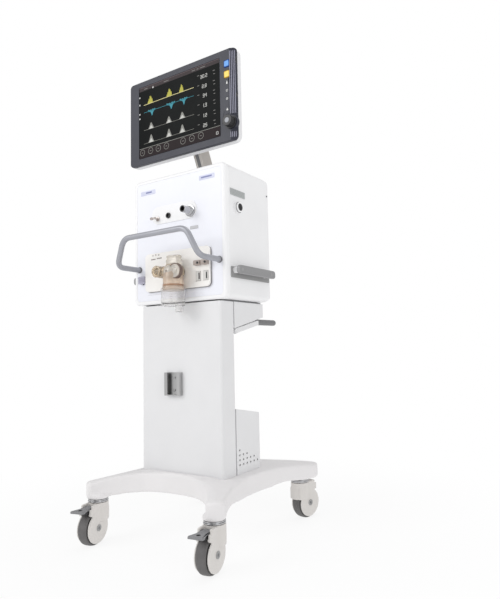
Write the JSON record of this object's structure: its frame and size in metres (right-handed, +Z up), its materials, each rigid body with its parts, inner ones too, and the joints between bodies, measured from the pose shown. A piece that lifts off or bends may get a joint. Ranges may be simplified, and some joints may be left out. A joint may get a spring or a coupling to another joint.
{
  "type": "mechanical ventilator",
  "caption": "Hospital ventilator on a four-caster cart: tilting touch monitor, gas ports, expiratory valve, handle and rails.",
  "frame": {"origin": "on the floor under the middle of the overall box", "axes": "+Z up, -Y towards the front with the monitor and the handle, +X to the right as seen from the front"},
  "size_m": [0.522, 0.6453, 1.481],
  "materials": {
    "white_paint": "satin powder coat",
    "cast_paint": "white powder coat on cast aluminium",
    "white_plastic": "fine moulded texture",
    "panel_plastic": "smooth, faintly blue",
    "cream_plastic": "smooth, warm white",
    "grey_plastic": "fine moulded texture",
    "dark_plastic": "fine moulded texture",
    "bezel_plastic": "satin, dark blue-grey",
    "rail_metal": "anodised",
    "handle_metal": "satin anodised",
    "stainless": "brushed",
    "chrome_metal": "polished",
    "brass_metal": "turned",
    "tyre_rubber": "smooth tread",
    "amber_plastic": "translucent amber",
    "clear_plastic": "translucent grey",
    "latch_plastic": "smooth",
    "blue_plastic": "lit key",
    "yellow_plastic": "lit key",
    "screen": "anti-glare",
    "circuit": "solder mask",
    "battery_wrap": "shrink wrap"
  },
  "bodies": {
    "cart": {"base_casting": "cast_paint", "column_shell": "white_paint", "column_gusset": "white_paint", "lower_box": "white_paint", "humidifier_bracket": "stainless", "bracket_screws": "stainless", "docking_plate": "dark_plastic", "caster_stems": "chrome_metal", "housing_shell": "white_paint", "front_frame": "white_plastic", "front_panel": "panel_plastic", "rear_panel": "white_paint", "gas_inlets": "chrome_metal", "power_inlet": "dark_plastic", "port_panel": "white_plastic", "inspiratory_port": "chrome_metal", "nebuliser_nipple": "brass_metal", "sensor_socket": "dark_plastic", "module_housing": "cream_plastic", "flow_sensor_sockets": "grey_plastic", "front_handle": "handle_metal", "handle_feet": "grey_plastic", "side_rails": "rail_metal", "rail_spacers": "white_plastic", "blower": "grey_plastic", "battery_pack": "battery_wrap", "control_board": "circuit"},
    "dock_lever": {"dock_lever_arm": "white_paint", "dock_lever_grip": "grey_plastic"},
    "side_knob": {"side_knob": "dark_plastic"},
    "module_latch": {"module_latch": "latch_plastic"},
    "expiratory_valve": {"valve_body": "amber_plastic", "valve_disc": "dark_plastic"},
    "water_trap": {"water_trap": "clear_plastic"},
    "monitor_arm": {"swivel_base": "white_plastic", "neck": "handle_metal"},
    "monitor": {"tilt_bracket": "stainless", "monitor_back": "white_plastic", "monitor_bezel": "bezel_plastic", "display_panel": "dark_plastic", "screen_glass": "screen", "keypad_strip": "bezel_plastic"},
    "blue_key": {"blue_key": "blue_plastic"},
    "amber_key": {"amber_key": "yellow_plastic"},
    "encoder_shaft": {"encoder_shaft": "stainless"},
    "encoder_knob": {"encoder_knob": "dark_plastic"},
    "front_left_caster": {"front_left_fork": "cream_plastic"},
    "front_left_wheel": {"front_left_hub": "grey_plastic", "front_left_tyre": "tyre_rubber"},
    "front_left_pedal": {"front_left_pedal": "grey_plastic"},
    "front_right_caster": {"front_right_fork": "cream_plastic"},
    "front_right_wheel": {"front_right_hub": "grey_plastic", "front_right_tyre": "tyre_rubber"},
    "front_right_pedal": {"front_right_pedal": "grey_plastic"},
    "rear_left_caster": {"rear_left_fork": "cream_plastic"},
    "rear_left_wheel": {"rear_left_hub": "grey_plastic", "rear_left_tyre": "tyre_rubber"},
    "rear_right_caster": {"rear_right_fork": "cream_plastic"},
    "rear_right_wheel": {"rear_right_hub": "grey_plastic", "rear_right_tyre": "tyre_rubber"}
  },
  "joints": [
    {"name": "dock_lever_hinge", "type": "hinge", "parent": "cart", "child": "dock_lever", "pos_m": [0.149, -0.022, 0.619], "axis": [-1, 0, 0], "range_deg": [0, 20], "stiffness_Nm_per_rad": 2, "springref_deg": -17.19},
    {"name": "side_knob_turn", "type": "hinge", "parent": "cart", "child": "side_knob", "pos_m": [0.2, -0.052, 0.99], "axis": [1, 0, 0], "range_deg": [0, 90]},
    {"name": "module_latch_slide", "type": "slide", "parent": "cart", "child": "module_latch", "axis": [0, 0, -1], "range_m": [0, 0.008], "stiffness_N_per_m": 300, "springref_m": -0.004},
    {"name": "valve_pull", "type": "slide", "parent": "cart", "child": "expiratory_valve", "axis": [0, -1, 0], "range_m": [0, 0.03]},
    {"name": "water_trap_pull", "type": "slide", "parent": "expiratory_valve", "child": "water_trap", "axis": [0, 0, -1], "range_m": [0, 0.04]},
    {"name": "monitor_swivel", "type": "hinge", "parent": "cart", "child": "monitor_arm", "pos_m": [0, 0.05, 1.1224], "axis": [0, 0, 1], "range_deg": [-90, 90]},
    {"name": "monitor_tilt", "type": "hinge", "parent": "monitor_arm", "child": "monitor", "pos_m": [0, -0.006, 1.258], "axis": [-1, 0, 0], "range_deg": [-10, 20]},
    {"name": "blue_key_press", "type": "slide", "parent": "monitor", "child": "blue_key", "axis": [0, 1, 0], "range_m": [0, 0.001], "stiffness_N_per_m": 800, "springref_m": -0.0005},
    {"name": "amber_key_press", "type": "slide", "parent": "monitor", "child": "amber_key", "axis": [0, 1, 0], "range_m": [0, 0.001], "stiffness_N_per_m": 800, "springref_m": -0.0005},
    {"name": "encoder_push", "type": "slide", "parent": "monitor", "child": "encoder_shaft", "axis": [0, 1, 0], "range_m": [0, 0.0005], "stiffness_N_per_m": 1500, "springref_m": -0.0008},
    {"name": "encoder_turn", "type": "hinge", "parent": "encoder_shaft", "child": "encoder_knob", "pos_m": [0.2, -0.098, 1.244], "axis": [0, -1, 0], "continuous": true},
    {"name": "front_left_swivel", "type": "hinge", "parent": "cart", "child": "front_left_caster", "pos_m": [-0.223, -0.224, 0.1186], "axis": [0, 0, 1], "continuous": true},
    {"name": "front_left_roll", "type": "hinge", "parent": "front_left_caster", "child": "front_left_wheel", "pos_m": [-0.2178, -0.24845, 0.05], "axis": [0.9781, 0.2079, 0], "continuous": true},
    {"name": "front_left_brake", "type": "hinge", "parent": "front_left_caster", "child": "front_left_pedal", "pos_m": [-0.21552, -0.25921, 0.1086], "axis": [0.9781, 0.2079, 0], "range_deg": [0, 8]},
    {"name": "front_right_swivel", "type": "hinge", "parent": "cart", "child": "front_right_caster", "pos_m": [0.223, -0.224, 0.1186], "axis": [0, 0, 1], "continuous": true},
    {"name": "front_right_roll", "type": "hinge", "parent": "front_right_caster", "child": "front_right_wheel", "pos_m": [0.22691, -0.24869, 0.05], "axis": [0.9877, 0.1564, 0], "continuous": true},
    {"name": "front_right_brake", "type": "hinge", "parent": "front_right_caster", "child": "front_right_pedal", "pos_m": [0.22863, -0.25956, 0.1086], "axis": [0.9877, 0.1564, 0], "range_deg": [0, 8]},
    {"name": "rear_left_swivel", "type": "hinge", "parent": "cart", "child": "rear_left_caster", "pos_m": [-0.208, 0.247, 0.1186], "axis": [0, 0, 1], "continuous": true},
    {"name": "rear_left_roll", "type": "hinge", "parent": "rear_left_caster", "child": "rear_left_wheel", "pos_m": [-0.2028, 0.27145, 0.05], "axis": [0.9781, -0.2079, 0], "continuous": true},
    {"name": "rear_right_swivel", "type": "hinge", "parent": "cart", "child": "rear_right_caster", "pos_m": [0.208, 0.247, 0.1186], "axis": [0, 0, 1], "continuous": true},
    {"name": "rear_right_roll", "type": "hinge", "parent": "rear_right_caster", "child": "rear_right_wheel", "pos_m": [0.2132, 0.27145, 0.05], "axis": [0.9781, -0.2079, 0], "continuous": true}
  ]
}
